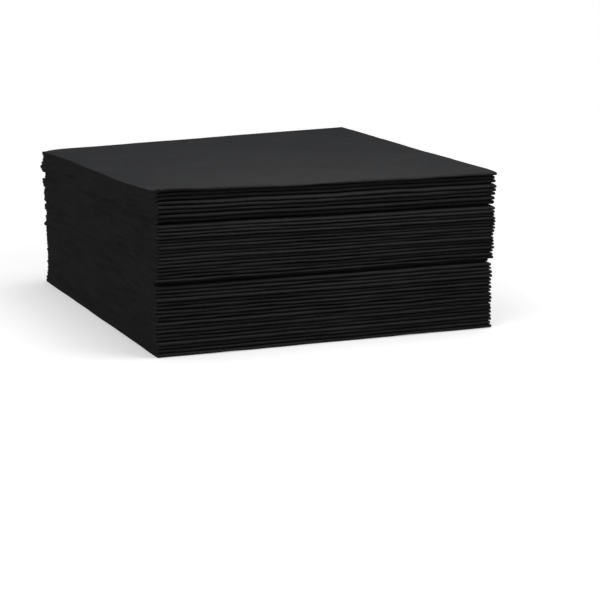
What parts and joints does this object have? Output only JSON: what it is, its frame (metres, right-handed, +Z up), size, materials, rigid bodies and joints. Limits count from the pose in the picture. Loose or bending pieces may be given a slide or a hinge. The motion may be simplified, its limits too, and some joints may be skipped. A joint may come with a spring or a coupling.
{
  "type": "stack of paper napkins",
  "caption": "Square stack of quarter-folded paper napkins in three loosely aligned bundles, with the rounded spine folds on one side.",
  "frame": {"origin": "middle of the stack's footprint, on the surface it rests on", "axes": "+Z up; the spine folds face -Y, the first folds +X, and the cut edges -X and +Y"},
  "size_m": [0.2027, 0.2054, 0.0916],
  "materials": {
    "black_paper": "soft matt airlaid paper, dyed black"
  },
  "bodies": {
    "root": {"napkin_01": "black_paper", "napkin_02": "black_paper", "napkin_03": "black_paper", "napkin_04": "black_paper", "napkin_05": "black_paper", "napkin_06": "black_paper", "napkin_07": "black_paper", "napkin_08": "black_paper", "napkin_09": "black_paper", "napkin_10": "black_paper", "napkin_11": "black_paper", "napkin_12": "black_paper", "napkin_13": "black_paper", "napkin_14": "black_paper", "napkin_15": "black_paper", "napkin_16": "black_paper", "napkin_17": "black_paper", "napkin_18": "black_paper", "napkin_19": "black_paper", "napkin_20": "black_paper", "napkin_21": "black_paper", "napkin_22": "black_paper", "napkin_23": "black_paper", "napkin_24": "black_paper", "napkin_25": "black_paper", "napkin_26": "black_paper", "napkin_27": "black_paper", "napkin_28": "black_paper", "napkin_29": "black_paper", "napkin_30": "black_paper", "napkin_31": "black_paper", "napkin_32": "black_paper", "napkin_33": "black_paper", "napkin_34": "black_paper", "napkin_35": "black_paper", "napkin_36": "black_paper", "napkin_37": "black_paper", "napkin_38": "black_paper", "napkin_39": "black_paper", "napkin_40": "black_paper", "napkin_41": "black_paper", "napkin_42": "black_paper", "napkin_43": "black_paper"}
  },
  "joints": []
}
